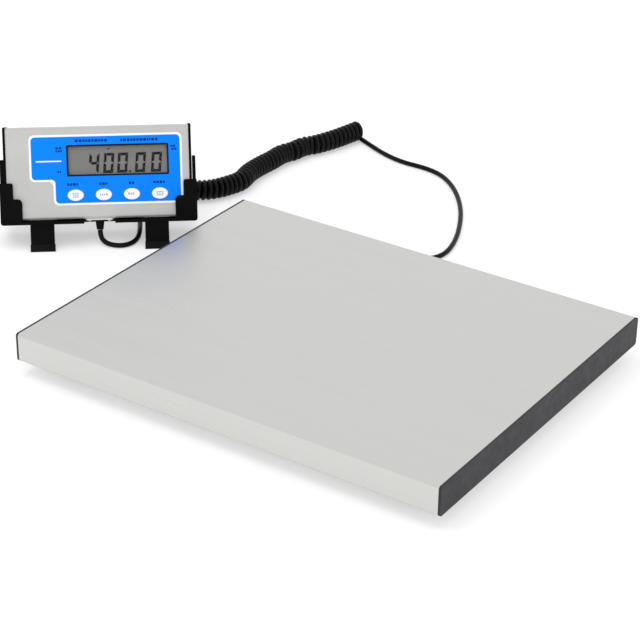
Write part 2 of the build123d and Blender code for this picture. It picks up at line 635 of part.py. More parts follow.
def rear_cover():
    """Black back of the case, open to the top for the battery door's slide."""
    outline = Pos(0, CASE_HEIGHT / 2) * Rectangle(2 * (SHELL_END - 0.1), CASE_HEIGHT)
    cover = facing(outline, SHELL_DEPTH, CASE_DEPTH)
    opening = block(-DOOR_HALF, DOOR_HALF, SHELL_DEPTH - 1, CASE_DEPTH + 1, DOOR_BOTTOM, CASE_HEIGHT + 1)
    reach = DOOR_HALF + DOOR_TONGUE + SLIDE_GAP
    groove = block(
        -reach, reach, TONGUE_FRONT - SLIDE_GAP, TONGUE_FRONT + DOOR_TONGUE_DEPTH + SLIDE_GAP,
        DOOR_BOTTOM, CASE_HEIGHT + 1,
    )
    return cover - opening - groove


def battery_door():
    """Sliding door over the batteries, with side tongues and finger ribs."""
    half = DOOR_HALF - SLIDE_GAP
    bottom = DOOR_BOTTOM + SLIDE_GAP
    door = block(-half, half, TONGUE_FRONT, CASE_DEPTH - 0.2, bottom, CASE_HEIGHT)
    reach = half + DOOR_TONGUE
    tongue_back = TONGUE_FRONT + DOOR_TONGUE_DEPTH
    door = door + block(-reach, reach, TONGUE_FRONT, tongue_back, bottom, CASE_HEIGHT)
    for i in range(4):
        height = CASE_HEIGHT - 6.0 - 2.6 * i
        door = door + block(-14, 14, CASE_DEPTH - 0.2, CASE_DEPTH + 0.5, height, height + 1.2)
    return door


def battery_tray():
    """Moulded tray for the cells, open to the back."""
    back = SHELL_DEPTH - 0.2
    tray = block(-TRAY_HALF, TRAY_HALF, TRAY_DEPTH, back, TRAY_BOTTOM, TRAY_TOP)
    for i in range(BATTERY_COLUMNS):
        left = -TRAY_HALF + TRAY_WALL + i * BATTERY_COLUMN
        bay = block(
            left + (0.5 if i else 0), left + BATTERY_COLUMN - (0 if i else 0.5),
            TRAY_DEPTH + TRAY_WALL, back + 1, TRAY_BOTTOM + TRAY_WALL, TRAY_TOP - TRAY_WALL,
        )
        tray = tray - bay
    return tray


def batteries():
    """Six AA cells, each with its positive stud."""
    solids = []
    row_pitch = TRAY_INNER_HEIGHT / BATTERY_ROWS
    depth = TRAY_DEPTH + TRAY_WALL + CELL_AA_RADIUS + 0.2
    for column in range(BATTERY_COLUMNS):
        middle = -TRAY_HALF + TRAY_WALL + (column + 0.5) * BATTERY_COLUMN
        for row in range(BATTERY_ROWS):
            height = TRAY_BOTTOM + TRAY_WALL + (row + 0.5) * row_pitch
            way = 1 if (column + row) % 2 else -1
            tail = middle - way * CELL_AA_LENGTH / 2
            shoulder = middle + way * (CELL_AA_LENGTH / 2 - 1.4)
            tip = middle + way * CELL_AA_LENGTH / 2
            body = rod(CELL_AA_RADIUS, (tail, depth, height), (shoulder, depth, height))
            stud = rod(2.75, (shoulder, depth, height), (tip, depth, height))
            solids.extend((body + stud).solids())
    return Compound(solids)


def overlay():
    """Printed face label in a notched L shape, with openings for the window and keys."""
    corners = [
        (OVERLAY_LEFT, OVERLAY_TOP), (OVERLAY_RIGHT, OVERLAY_TOP), (OVERLAY_RIGHT, OVERLAY_BOTTOM),
        (OVERLAY_NOTCH_X, OVERLAY_BOTTOM), (OVERLAY_NOTCH_X, OVERLAY_NOTCH_Z),
        (OVERLAY_LEFT, OVERLAY_NOTCH_Z),
    ]
    outline = make_face(Polyline(*corners, close=True))
    outline = fillet(outline.vertices(), OVERLAY_CORNER)
    outline = outline - window_outline(FIT)
    for x in KEY_PLACES:
        outline = outline - key_outline(x, FIT)
    return facing(outline, -OVERLAY_THICKNESS, 0)


def lcd_window():
    """Clear display window, flush with the label."""
    return facing(window_outline(), -OVERLAY_THICKNESS, CASE_SHEET - 0.1)


def lcd_module():
    """Display glass in its frame, behind the window."""
    outline = Pos(WINDOW_X, WINDOW_Z) * RectangleRounded(WINDOW_WIDTH + 5, WINDOW_HEIGHT + 6, 1.5)
    front = CASE_SHEET + 0.2
    return facing(outline, front, front + LCD_THICKNESS)


def main_board():
    """Main circuit board behind the face."""
    outline = Pos(0, CASE_HEIGHT / 2) * RectangleRounded(2 * SHELL_END - 8, CASE_HEIGHT - 16, 2)
    return facing(outline, MAIN_BOARD_DEPTH, MAIN_BOARD_DEPTH + MAIN_BOARD_SHEET)


def board_parts():
    """Key switches, sounder, cord socket and chips on the main board."""
    front = MAIN_BOARD_DEPTH
    solids = [
        block(x - 3, x + 3, front - SWITCH_HEIGHT, front, KEY_Z - 3, KEY_Z + 3) for x in KEY_PLACES
    ]
    edge = -SHELL_END + 4
    solids.append(block(edge + 8.7, edge + 16, front - 4, front, 52, 66))
    solids.append(rod(6, (edge + 17, front - 6, 24), (edge + 17, front, 24)))
    solids.append(block(-8, 8, front - 5.5, front, 9, 14.5))
    return Compound([solid for shape in solids for solid in shape.solids()])


def key(x):
    """Oval key cap: face through the label, retaining flange behind the sheet, and a stem."""
    flange_front = CASE_SHEET + KEY_TRAVEL
    cap = facing(key_outline(x), -OVERLAY_THICKNESS - KEY_PROUD, flange_front)
    cap = fillet(cap.faces().sort_by(Axis.Y)[0].edges(), 0.4)
    flange = facing(key_outline(x, KEY_FLANGE), flange_front, flange_front + 0.8)
    stem_end = MAIN_BOARD_DEPTH - SWITCH_HEIGHT - KEY_TRAVEL - 0.1
    stem = rod(2.0, (x, flange_front + 0.8, KEY_Z), (x, stem_end, KEY_Z))
    return cap + flange + stem


def dc_jack():
    """Power inlet in the right end plate: barrel, bore and centre pin."""
    start = CASE_END - JACK_LENGTH
    place = Pos(JACK_DEPTH, JACK_HEIGHT)
    barrel = along_x(place * Circle(JACK_RADIUS), start, CASE_END)
    bore = along_x(place * Circle(JACK_BORE), start + 1.5, CASE_END + 1)
    pin = along_x(place * Circle(1.0), start + 1.0, CASE_END - 1.5)
    return barrel - bore + pin


def cable_entry_plate():
    """Bright flange under the case that clamps the cord's boot."""
    outline = Pos(0, ENTRY_DEPTH) * RectangleRounded(ENTRY_WIDTH, ENTRY_LENGTH, 2)
    outline = outline - Pos(0, ENTRY_DEPTH) * Circle(BOOT_ROOT_RADIUS + FIT)
    for place in ENTRY_SCREW_PLACES:
        outline = outline - Pos(*place) * Circle(ENTRY_SCREW_RADIUS + SCREW_CLEARANCE)
    return upright(outline, -ENTRY_SHEET, 0)


def entry_screws():
    """Two pan-head screws of the entry flange."""
    head = rod(2.4, (0, 0, -ENTRY_SHEET - 1.4), (0, 0, -ENTRY_SHEET))
    head = head - block(-1.9, 1.9, -0.35, 0.35, -ENTRY_SHEET - 1.4, -ENTRY_SHEET - 0.8)
    shank = rod(ENTRY_SCREW_RADIUS, (0, 0, -ENTRY_SHEET), (0, 0, 5))
    return at_each(head + shank, ENTRY_SCREW_PLACES)


def cord_boot():
    """Tapered rubber strain relief, held by a flange inside the case."""
    outline = Polyline(
        (0, CASE_SHEET + 2.5), (BOOT_ROOT_RADIUS + 2, CASE_SHEET + 2.5), (BOOT_ROOT_RADIUS + 2, CASE_SHEET),
        (BOOT_ROOT_RADIUS, CASE_SHEET), (BOOT_ROOT_RADIUS, -ENTRY_SHEET - 0.5),
        (BOOT_TIP_RADIUS, -BOOT_LENGTH), (0, -BOOT_LENGTH), close=True,
    )
    profile = make_face(Plane.XZ * outline)
    return Pos(0, ENTRY_DEPTH) * revolve(profile, Axis.Z)


# ---- cradle and legs ----
def arm_outline():
    """Side of the cradle, drawn in Y and Z: tall at the front, low at the back."""
    corners = [
        (CLIP_FRONT, CRADLE_BOTTOM), (CLIP_FRONT, CLIP_UPPER_HEIGHT), (ARM_FRONT, CLIP_UPPER_HEIGHT),
        (ARM_FRONT, ARM_HEIGHT), (ARM_BACK, ARM_HEIGHT), (ARM_BACK, BACK_WALL_HEIGHT),
        (CRADLE_REAR, BACK_WALL_HEIGHT), (CRADLE_REAR, CRADLE_BOTTOM),
    ]
    outline = make_face(Polyline(*corners, close=True))
    tops = [v for v in outline.vertices() if v.Y > ARM_HEIGHT - 1]
    return fillet(tops, ARM_ROUND)


def clip_outline(side):
    """Front corner clip, drawn in X and Z: a wide foot and a narrower upright."""
    outside = CRADLE_OUTSIDE
    upper = outside - CLIP_UPPER_WIDTH
    lower = outside - CLIP_WIDTH
    corners = [
        (outside, CRADLE_BOTTOM), (outside, CLIP_UPPER_HEIGHT), (upper, CLIP_UPPER_HEIGHT),
        (upper, CLIP_HEIGHT), (lower, CLIP_HEIGHT), (lower, CRADLE_BOTTOM),
    ]
    outline = make_face(Polyline(*[(side * x, z) for x, z in corners], close=True))
    rounded = [v for v in outline.vertices() if abs(v.X) < upper + 0.1 and v.Y > 0]
    tall = [v for v in rounded if v.Y > CLIP_UPPER_HEIGHT - 1]
    outline = fillet(tall, CLIP_ROUND / 2)
    low = [v for v in outline.vertices() if abs(v.X) < lower + 0.1 and v.Y > 0]
    return fillet(low, CLIP_ROUND)


def keyhole_outline():
    """Wall-hanging keyhole, drawn in X and Z: a round entry and a slot above it."""
    slot = Pos(0, KEYHOLE_RISE / 2) * Rectangle(2 * KEYHOLE_SLOT_RADIUS, KEYHOLE_RISE)
    return Circle(KEYHOLE_RADIUS) + slot + Pos(0, KEYHOLE_RISE) * Circle(KEYHOLE_SLOT_RADIUS)


def cradle():
    """Black holder the indicator slides into: floor, side arms, front clips and low back wall."""
    outside = CRADLE_OUTSIDE
    body = block(-outside, outside, CLIP_FRONT, CRADLE_REAR, CRADLE_BOTTOM, CRADLE_TOP)
    body = body + block(
        -outside, outside, CRADLE_REAR_INSIDE, CRADLE_REAR, CRADLE_BOTTOM, BACK_WALL_HEIGHT
    )
    for side in (-1, 1):
        ends = sorted((side * CRADLE_INSIDE, side * (outside - ARM_INSET)))
        body = body + along_x(arm_outline(), *ends)
        body = body + facing(clip_outline(side), CLIP_FRONT, CLIP_BACK)
        keyhole = Pos(side * KEYHOLE_X, KEYHOLE_Z) * keyhole_outline()
        body = body - facing(keyhole, CRADLE_REAR_INSIDE - 1, CRADLE_REAR + 1)
        body = body - leg_window(side)
        body = body - leg_pin(side, LEG_PIN_RADIUS + 0.01)
        body = body - cradle_corner(side)
    half = NOTCH_WIDTH / 2
    notch_back = ENTRY_DEPTH + ENTRY_LENGTH / 2 + 2
    notch = block(-half, half, CLIP_FRONT - 1, notch_back, CRADLE_BOTTOM - 1, CRADLE_TOP + 1)
    return body - notch


def cradle_corner(side):
    """What is cut away to round a lower outside corner of the cradle."""
    middle_x = side * (CRADLE_OUTSIDE - CRADLE_ROUND)
    middle_z = CRADLE_BOTTOM + CRADLE_ROUND
    front = CLIP_FRONT - 1
    back = CRADLE_REAR + 1
    ends = sorted((middle_x, side * (CRADLE_OUTSIDE + 1)))
    corner = block(*ends, front, back, CRADLE_BOTTOM - 1, middle_z)
    return corner - rod(CRADLE_ROUND, (middle_x, front, middle_z), (middle_x, back, middle_z))


def leg_window(side):
    """Space in the cradle's floor that a leg folds up into."""
    half = LEG_WIDTH / 2 + LEG_SIDE_GAP
    toe_half = half + TOE_WALL + 0.3
    middle = side * LEG_X
    front = CLIP_FRONT + FRONT_LIP
    back = LEG_Y + LEG_REACH + 2.0
    low = CRADLE_BOTTOM - 1
    high = CRADLE_TOP + 1
    barrel_space = block(middle - half, middle + half, front, LEG_Y + 6, low, high)
    return barrel_space + block(middle - toe_half, middle + toe_half, LEG_Y + 5, back, low, high)


def leg_pin(side, radius):
    """Steel hinge pin of a leg, seated in the floor on both sides of its window."""
    reach = LEG_WIDTH / 2 + LEG_SIDE_GAP + LEG_PIN_SEAT
    middle = side * LEG_X
    return rod(radius, (middle - reach, LEG_Y, LEG_PIVOT_Z), (middle + reach, LEG_Y, LEG_PIVOT_Z))


def leg(side):
    """Fold-out leg: a flat blade with a rounded knuckle on its pin."""
    half = LEG_WIDTH / 2
    middle = side * LEG_X
    ends = (middle - half, middle + half)
    blade = block(
        *ends, LEG_Y - LEG_END_RADIUS, LEG_Y + LEG_END_RADIUS, -LEG_REACH + TOE_SOLE, LEG_PIVOT_Z
    )
    knuckle = along_x(Pos(LEG_Y, LEG_PIVOT_Z) * Circle(LEG_END_RADIUS), *ends)
    return blade + knuckle - leg_pin(side, LEG_PIN_RADIUS + RUNNING)


def above_table(shape):
    """The part of a placed shape that is above the table."""
    return shape - Pos(0, 0, -50) * Box(2000, 2000, 100)


def toe_pad(side):
    """Rubber cap on a leg's end, cut flat where it stands on the table."""
    half = LEG_WIDTH / 2 + TOE_WALL
    middle = side * LEG_X
    thick = LEG_END_RADIUS + TOE_WALL
    cap = block(
        middle - half, middle + half, LEG_Y - thick, LEG_Y + thick, -LEG_REACH - 2, TOE_START
    )
    return above_table(INDICATOR * (cap - leg(side)))


def heel_pads():
    """Rubber pads under the cradle's rear corners, cut flat where they stand on the table."""
    solids = []
    for side in (-1, 1):
        middle = side * LEG_X
        pad = block(
            middle - HEEL_WIDTH / 2, middle + HEEL_WIDTH / 2,
            CRADLE_REAR - HEEL_DEPTH, CRADLE_REAR, CRADLE_BOTTOM - 14, CRADLE_BOTTOM,
        )
        solids.extend(above_table(INDICATOR * pad).solids())
    return Compound(solids)


# ---- assembly ----
def platform_parts():
    parts = {
        "platter_cover": platter_cover(),
        "end_cap_right": end_cap(),
        "end_cap_left": mirror(end_cap(), Plane.YZ),
        "base_plate": base_plate(),
        "base_screws": base_screws(),
        "frame_sleeves": frame_sleeves(),
        "beam_front": beam(-1),
        "beam_rear": beam(1),
        "cross_member_left": cross_member(-1),
        "cross_member_right": cross_member(1),
        "cell_carriers": cell_carriers(),
        "summing_board": summing_board(),
        "summing_board_parts": summing_board_parts(),
        "cell_leads": cell_leads(),
        "signal_lead": signal_lead(),
        "base_gland": base_gland(),
        "gland_nut": gland_nut(),
    }
    for name, x, y in FOOT_PLACES:
        parts[f"load_cell_{name}"] = load_cell(x, y)
        parts[f"foot_{name}"] = foot(x, y)
        parts[f"foot_pad_{name}"] = foot_pad(x, y)
    return parts


def indicator_parts():
    """Every piece that is drawn in the indicator's own frame."""
    parts = {
        "case_shell": case_shell(),
        "end_plate_left": end_plate(-1),
        "end_plate_right": end_plate(1),
        "end_plate_screws": end_plate_screws(),
        "rear_cover": rear_cover(),
        "battery_door": battery_door(),
        "battery_tray": battery_tray(),
        "batteries": batteries(),
        "overlay": overlay(),
        "lcd_window": lcd_window(),
        "lcd_module": lcd_module(),
        "main_board": main_board(),
        "board_parts": board_parts(),
        "dc_jack": dc_jack(),
        "cable_entry_plate": cable_entry_plate(),
        "entry_screws": entry_screws(),
        "cord_boot": cord_boot(),
        "cradle": cradle(),
        "leg_left": leg(-1),
        "leg_right": leg(1),
        "leg_pins": Compound([leg_pin(side, LEG_PIN_RADIUS).solid() for side in (-1, 1)]),
    }
    for i, x in enumerate(KEY_PLACES):
        parts[f"key_{i + 1}"] = key(x)
    return {name: INDICATOR * shape for name, shape in parts.items()}


def cord_parts():
    routes = {
        "cord_loop": (CORD_LOOP, CORD_RADIUS),
        "cord_coil": (CORD_COIL, COIL_RADIUS),
        "cord_tail": (CORD_TAIL, CORD_RADIUS),
    }
    parts = {}
    for name, (points, radius) in routes.items():
        parts[name] = tube(points, radius)
        report_route(name, points, radius, parts[name])
    return parts


def main():
    parts = platform_parts() | indicator_parts() | cord_parts()
    parts["toe_pad_left"] = toe_pad(-1)
    parts["toe_pad_right"] = toe_pad(1)
    parts["heel_pads"] = heel_pads()
    os.makedirs("parts", exist_ok=True)
    for name, shape in parts.items():
        export_step(shape, f"parts/{name}.step")


main()
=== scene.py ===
"""Platform shipping scale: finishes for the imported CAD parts, a curly cord, face label and display."""

import json
import math
import random

import bmesh
import bpy
import numpy as np
from mathutils import Matrix, Vector


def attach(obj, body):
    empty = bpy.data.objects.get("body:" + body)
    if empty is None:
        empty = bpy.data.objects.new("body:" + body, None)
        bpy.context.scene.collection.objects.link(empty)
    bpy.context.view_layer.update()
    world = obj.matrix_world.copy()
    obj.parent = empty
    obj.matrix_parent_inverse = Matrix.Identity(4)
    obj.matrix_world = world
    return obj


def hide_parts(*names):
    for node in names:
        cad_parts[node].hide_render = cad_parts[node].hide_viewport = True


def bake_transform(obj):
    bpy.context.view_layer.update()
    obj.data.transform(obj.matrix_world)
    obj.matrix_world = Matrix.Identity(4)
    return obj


MM = 0.001
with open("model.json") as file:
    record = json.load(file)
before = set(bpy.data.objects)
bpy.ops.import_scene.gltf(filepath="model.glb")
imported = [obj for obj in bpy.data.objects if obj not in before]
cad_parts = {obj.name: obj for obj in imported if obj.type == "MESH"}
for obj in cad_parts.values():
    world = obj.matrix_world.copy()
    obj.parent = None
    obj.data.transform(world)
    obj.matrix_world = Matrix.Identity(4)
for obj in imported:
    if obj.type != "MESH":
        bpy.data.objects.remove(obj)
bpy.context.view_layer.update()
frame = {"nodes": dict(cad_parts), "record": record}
record = frame["record"]
joints = {joint["name"]: joint for joint in record["behaviour"]["joints"]}
mounts = {mount["name"]: mount for mount in record["mounts"]}

# ---- the display unit's own directions: right across the face, up the face, and into the case ----
FACE_RIGHT = Vector(joints["leg_left_fold"]["axis"]).normalized()
FACE_UP = Vector(joints["indicator_lift"]["axis"]).normalized()
FACE_DEPTH = Vector(joints["key_1_press"]["axis"]).normalized()
KEYHOLE_DEPTH = 36.0
KEYHOLE_HEIGHT = 12.0
keyholes = [Vector(mounts[name]["pos_m"]) for name in ("wall_keyhole_left", "wall_keyhole_right")]
KEYHOLE_OFFSET = (FACE_DEPTH * KEYHOLE_DEPTH + FACE_UP * KEYHOLE_HEIGHT) * MM
FACE_ORIGIN = (keyholes[0] + keyholes[1]) / 2 - KEYHOLE_OFFSET

# ---- camera ----
CAMERA_PLACE = Vector((775.3, -1184.4, 800.5)) * MM
CAMERA_FORWARD = Vector((-0.48676, 0.73435, -0.47307)).normalized()
CAMERA_ROLL = math.radians(0.746)
CAMERA_LENS = 116.8
SENSOR_WIDTH = 36.0

# ---- floor and lights, in metres and watts: place, what the light is aimed at, width, power ----
FLOOR_SIZE = 12.0
FLOOR_GAP = 0.0002
OVERHEAD_SOFTBOX = ((-0.3, -0.5, 2.2), (0, 0, 0), 1.6, 14.0)
FRONT_SOFTBOX = ((1.1, -1.7, 1.2), (0.1, 0, 0), 1.2, 5.0)

# ---- cord, in millimetres: the plain start, the curly part's axis, and the plain end ----
CORD_DIAMETER = 4.4
CORD_SIDES = 12
CORD_RESOLUTION = 3
AXIS_RESOLUTION = 24
COIL_RADIUS = 7.3
COIL_TURNS = 51.5
COIL_STEPS = 16
COIL_PITCHES = [(0.0, 4.8), (0.3, 4.8), (0.42, 5.2), (1.0, 5.4)]  # share of the axis, spacing
# The plain start leaves the display unit; the curly part stretches from there down to the table.
CORD_LOOP = [
    (-286.2, 68.5, 11.3), (-284.9, 66.9, 6.4), (-279.2, 64.9, 3.0), (-271.3, 65.1, 2.2),
    (-262.9, 69.1, 2.2), (-259.0, 76.9, 2.2), (-260.1, 86.5, 2.2), (-265.5, 96.9, 2.2),
    (-274.0, 108.7, 2.2), (-285.5, 122.6, 2.6), (-296.0, 139.5, 5.4), (-303.5, 154.0, 10.2),
]
COIL_AXIS = [
    (-309.5, 166.5, 9.5), (-290.0, 176.0, 9.5), (-270.0, 184.5, 9.5), (-257.5, 197.5, 9.5),
    (-252.0, 212.0, 9.5), (-248.0, 226.5, 9.5), (-253.5, 244.0, 9.5), (-254.0, 263.0, 9.5),
    (-252.5, 281.0, 9.5), (-253.5, 299.0, 9.5), (-247.5, 310.5, 9.5), (-247.5, 324.0, 9.5),
    (-240.5, 333.0, 9.5), (-235.5, 346.0, 9.5), (-231.5, 359.0, 9.5), (-228.5, 373.0, 9.5),
    (-225.5, 388.5, 9.5),
]
CORD_TAIL = [
    (-205.0, 378.5, 2.2), (-182.0, 368.0, 2.2), (-158.0, 362.0, 2.2), (-135.0, 363.5, 2.2),
    (-114.0, 359.0, 2.2), (-93.5, 344.5, 2.2), (-74.0, 323.5, 2.2), (-55.4, 297.0, 2.2),
    (-38.0, 263.0, 2.2), (-28.5, 237.0, 2.2), (-25.3, 219.5, 2.2), (-27.2, 207.5, 2.2),
    (-32.5, 197.5, 3.4), (-39.5, 188.8, 6.8), (-45.3, 179.5, 12.0), (-48.0, 168.0, 21.6),
    (-48.0, 150.5, 21.6),
]

# ---- face label, in millimetres: x to the right of the face's middle, z up from its lower edge ----
LABEL_FRONT = -0.4
PRINT_DEPTH = 0.12
FIELD_CORNERS = [(-57.0, 71.3), (-57.0, 34.6), (-36.9, 34.6), (-36.9, 14.0), (71.0, 14.0), (71.0, 71.3)]
FIELD_RADIUS = 3.4
WINDOW_X = 17.2
WINDOW_Z = 50.6
WINDOW_WIDTH = 88.0
WINDOW_HEIGHT = 27.2
WINDOW_BORDER = 1.5
KEY_PLACES = [-19.8, 4.4, 28.6, 52.8]
KEY_Z = 20.8
KEY_WIDTH = 13.8
KEY_HEIGHT = 9.8
KEY_PROUD = 0.9
KEY_GAP = 0.2
LCD_FRONT = 1.7
SMALL_PRINT = [  # rows from x to x, at z, of a height
    (-19.2, 9.6, 67.6, 2.3), (20.0, 53.4, 67.5, 2.3),
    (-35.9, -29.0, 61.6, 1.8), (-35.9, -29.0, 59.0, 1.8), (-34.8, -29.4, 41.1, 1.9),
    (63.0, 68.7, 61.4, 1.7), (63.8, 68.4, 58.8, 1.7),
    (-26.8, -16.4, 30.1, 2.4), (0.4, 8.6, 30.2, 2.3), (26.2, 31.6, 30.3, 2.3), (47.2, 58.8, 30.5, 2.3),
]
LABEL_LINE = (-42.1, 50.4, 22.0, 1.1, 0.5)

# ---- the reading on the display ----
DIGIT_PLACES = [(-4.0, "4"), (8.6, "0"), (20.6, "0"), (36.0, "0"), (49.8, "0")]
DIGIT_BOTTOM = 39.3
DIGIT_WIDTH = 8.8
DIGIT_HEIGHT = 17.2
DIGIT_SLANT = 0.09
SEGMENT_THICKNESS = 2.4
SEGMENT_GAP = 0.08
POINT_PLACE = (27.6, 40.2)
POINT_SIZE = 1.7
POINT_ROUND = 0.4
UNIT_MARK = [(8.2, 60.6), (10.8, 60.6), (9.5, 59.1)]
SEGMENTS = {"0": "abcdef", "4": "bcfg"}


# ---- meshes ----
def link(obj):
    bpy.context.scene.collection.objects.link(obj)
    return obj


def mesh_object(name, vertices, faces):
    mesh = bpy.data.meshes.new(name)
    mesh.from_pydata([tuple(v) for v in vertices], [], faces)
    mesh.update()
    mesh.polygons.foreach_set("use_smooth", [True] * len(mesh.polygons))
    return link(bpy.data.objects.new(name, mesh))


def on_face(depth):
    """Puts a flat drawing (X right, Y up) on the display unit's face, at a depth into the case."""
    origin = FACE_ORIGIN + FACE_DEPTH * depth * MM
    rows = [[FACE_RIGHT[i], FACE_UP[i], -FACE_DEPTH[i], origin[i]] for i in range(3)]
    return Matrix(rows + [[0, 0, 0, 1]])


def ellipse(x, z, width, height, steps=56):
    turns = [2 * math.pi * i / steps for i in range(steps)]
    return [(x + width / 2 * math.cos(a), z + height / 2 * math.sin(a)) for a in turns]


def rounded(corners, radius, steps=8):
    """A polygon, its corners rounded."""
    points = []
    for i, corner in enumerate(corners):
        here = Vector(corner)
        back = (Vector(corners[i - 1]) - here).normalized()
        ahead = (Vector(corners[(i + 1) % len(corners)]) - here).normalized()
        half = math.acos(max(-1.0, min(1.0, back.dot(ahead)))) / 2
        middle = here + (back + ahead).normalized() * radius / math.sin(half)
        reach = radius / math.tan(half)
        first = here + back * reach - middle
        last = here + ahead * reach - middle
        start = math.atan2(first.y, first.x)
        turn = (math.atan2(last.y, last.x) - start + math.pi) % (2 * math.pi) - math.pi
        for step in range(steps + 1):
            angle = start + turn * step / steps
            points.append((middle.x + radius * math.cos(angle), middle.y + radius * math.sin(angle)))
    return points


def rectangle(x, z, width, height, radius):
    left, right, low, high = x - width / 2, x + width / 2, z - height / 2, z + height / 2
    return rounded([(left, low), (right, low), (right, high), (left, high)], radius)


def print_piece(name, outlines, front, thickness, body, material):
    """A closed slab on the display unit's face, its front at a depth; inner outlines are holes."""
    curve = bpy.data.curves.new(name, "CURVE")
    curve.dimensions = "2D"
    curve.fill_mode = "BOTH"
    curve.extrude = thickness / 2 * MM
    for outline in outlines:
        spline = curve.splines.new("POLY")
        spline.points.add(len(outline) - 1)
        for point, (x, z) in zip(spline.points, outline):
            point.co = (x * MM, z * MM, 0, 1)
        spline.use_cyclic_u = True
    drawing = link(bpy.data.objects.new(name + "_drawing", curve))
    bpy.context.view_layer.update()
    mesh = bpy.data.meshes.new_from_object(drawing.evaluated_get(bpy.context.evaluated_depsgraph_get()))
    bpy.data.objects.remove(drawing)
    mesh.transform(on_face(front + thickness / 2))
    bm = bmesh.new()
    bm.from_mesh(mesh)
    bmesh.ops.remove_doubles(bm, verts=bm.verts, dist=1e-6)
    bmesh.ops.recalc_face_normals(bm, faces=bm.faces)
    bm.to_mesh(mesh)
    bm.free()
    mesh.name = name
    piece = link(bpy.data.objects.new(name, mesh))
    finish_piece(piece, material)
    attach(piece, body)
    return piece


def finish_piece(piece, material):
    piece.data.materials.clear()
    piece.data.materials.append(material)


# ---- materials ----
class Finish:
    """A Principled material whose detail comes from noise in the object's own space, in metres."""

    def __init__(self, name, colour, metallic=0.0, roughness=0.5, **sockets):
        self.material = bpy.data.materials.new(name)
        self.material.use_nodes = True
        self.tree = self.material.node_tree
        self.shader = self.tree.nodes["Principled BSDF"]
        self.shader.inputs["Base Color"].default_value = (*colour, 1)
        self.shader.inputs["Metallic"].default_value = metallic
        self.shader.inputs["Roughness"].default_value = roughness
        for socket, value in sockets.items():
            self.shader.inputs[socket.replace("_", " ")].default_value = value
        self.place = self.tree.nodes.new("ShaderNodeTexCoord").outputs["Object"]

    def noise(self, scale, stretch=(1, 1, 1), detail=4.0, rough=0.6):
        """Noise of that many cycles a metre, pulled out along an axis by a stretch below 1."""
        mapping = self.tree.nodes.new("ShaderNodeMapping")
        mapping.inputs["Scale"].default_value = [scale * s for s in stretch]
        self.tree.links.new(self.place, mapping.inputs["Vector"])
        noise = self.tree.nodes.new("ShaderNodeTexNoise")
        noise.inputs["Scale"].default_value = 1.0
        noise.inputs["Detail"].default_value = detail
        noise.inputs["Roughness"].default_value = rough
        self.tree.links.new(mapping.outputs["Vector"], noise.inputs["Vector"])
        return noise.outputs["Fac"]

    def cells(self, scale):
        cells = self.tree.nodes.new("ShaderNodeTexVoronoi")
        cells.inputs["Scale"].default_value = scale
        self.tree.links.new(self.place, cells.inputs["Vector"])
        return cells.outputs["Distance"]

    def colours(self, source, low, high, start=0.3, stop=0.7):
        ramp = self.tree.nodes.new("ShaderNodeValToRGB")
        ramp.color_ramp.elements[0].position = start
        ramp.color_ramp.elements[1].position = stop
        ramp.color_ramp.elements[0].color = (*low, 1)
        ramp.color_ramp.elements[1].color = (*high, 1)
        self.tree.links.new(source, ramp.inputs["Fac"])
        self.tree.links.new(ramp.outputs["Color"], self.shader.inputs["Base Color"])
        return self

    def roughness(self, source, low, high):
        spread = self.tree.nodes.new("ShaderNodeMapRange")
        spread.inputs["From Min"].default_value = 0.3
        spread.inputs["From Max"].default_value = 0.7
        spread.inputs["To Min"].default_value = low
        spread.inputs["To Max"].default_value = high
        self.tree.links.new(source, spread.inputs["Value"])
        self.tree.links.new(spread.outputs["Result"], self.shader.inputs["Roughness"])
        return self

    def bump(self, source, strength, height_mm):
        bump = self.tree.nodes.new("ShaderNodeBump")
        bump.inputs["Strength"].default_value = strength
        bump.inputs["Distance"].default_value = height_mm * MM
        self.tree.links.new(source, bump.inputs["Height"])
        self.tree.links.new(bump.outputs["Normal"], self.shader.inputs["Normal"])
        return self


def grained(name, colour, spread, grain, height_mm, metallic=0.0, roughness=(0.4, 0.55), **sockets):
    """A moulded or coated surface: slow colour drift, uneven gloss and a fine grain."""
    finish = Finish(name, colour, metallic, sum(roughness) / 2, **sockets)
    low = [max(c * (1 - spread), 0.0) for c in colour]
    high = [min(c * (1 + spread), 1.0) for c in colour]
    finish.colours(finish.noise(45.0), low, high)
    finish.roughness(finish.noise(160.0), *roughness)
    finish.bump(finish.noise(grain, detail=2.0), 0.35, height_mm)
    return finish.material


def brushed_steel():
    """Stainless sheet, finely brushed along its length."""
    finish = Finish("brushed_stainless", (0.62, 0.615, 0.60), 1.0, 0.3)
    streaks = finish.noise(700.0, stretch=(0.012, 1, 1), detail=5.0, rough=0.7)
    finish.colours(streaks, (0.607, 0.604, 0.588), (0.628, 0.625, 0.609))
    finish.roughness(finish.noise(60.0, stretch=(0.1, 1, 1)), 0.26, 0.34)
    finish.bump(streaks, 0.05, 0.012)
    return finish.material


def zinc_plate():
    finish = Finish("zinc_plate", (0.6, 0.6, 0.58), 1.0, 0.4)
    finish.colours(finish.cells(160.0), (0.46, 0.47, 0.48), (0.68, 0.68, 0.66), 0.1, 0.9)
    finish.roughness(finish.noise(220.0), 0.3, 0.5)
    finish.bump(finish.noise(900.0), 0.2, 0.03)
    return finish.material


def circuit_green():
    finish = Finish("circuit_green", (0.02, 0.16, 0.07), 0.0, 0.35)
    finish.colours(finish.cells(350.0), (0.012, 0.11, 0.045), (0.03, 0.2, 0.09), 0.2, 0.6)
    finish.bump(finish.cells(500.0), 0.3, 0.04)
    return finish.material


